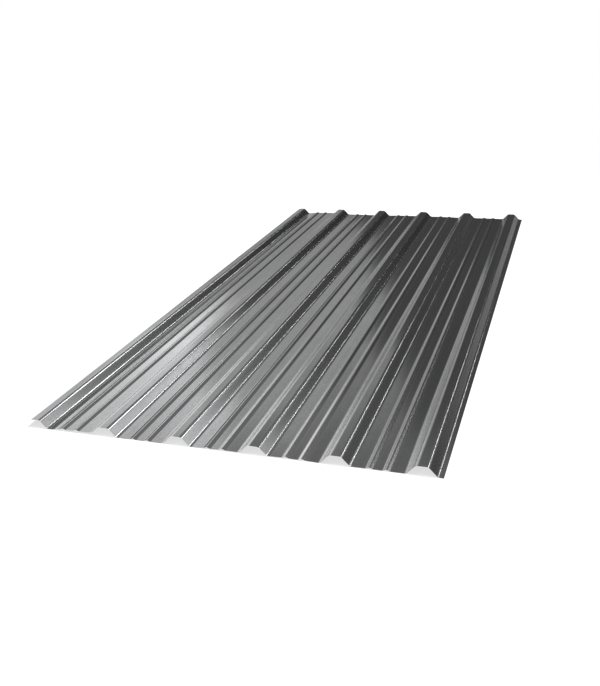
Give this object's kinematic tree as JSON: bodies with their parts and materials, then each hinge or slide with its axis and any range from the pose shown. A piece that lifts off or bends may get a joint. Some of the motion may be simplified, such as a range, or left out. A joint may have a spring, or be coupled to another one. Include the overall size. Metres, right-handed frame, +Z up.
{
  "type": "ribbed metal roofing sheet",
  "caption": "Roll-formed corrugated steel roofing and siding sheet with trapezoidal ribs, stiffened flat pans, an overlap leg on one edge and an underlap lip on the other.",
  "frame": {"origin": "middle of the sheet's footprint, on the surface that its pans lie on", "axes": "+X across the sheet from the overlap leg to the underlap lip, +Y along the ribs, +Z up, out of the weather side"},
  "size_m": [1.0878, 2.44, 0.0245],
  "materials": {
    "galvanised_steel": "bare zinc-coated steel with a fine spangle, faint roll-forming lines and a soft sheen"
  },
  "bodies": {
    "root": {"ribbed_sheet": "galvanised_steel"}
  },
  "joints": []
}
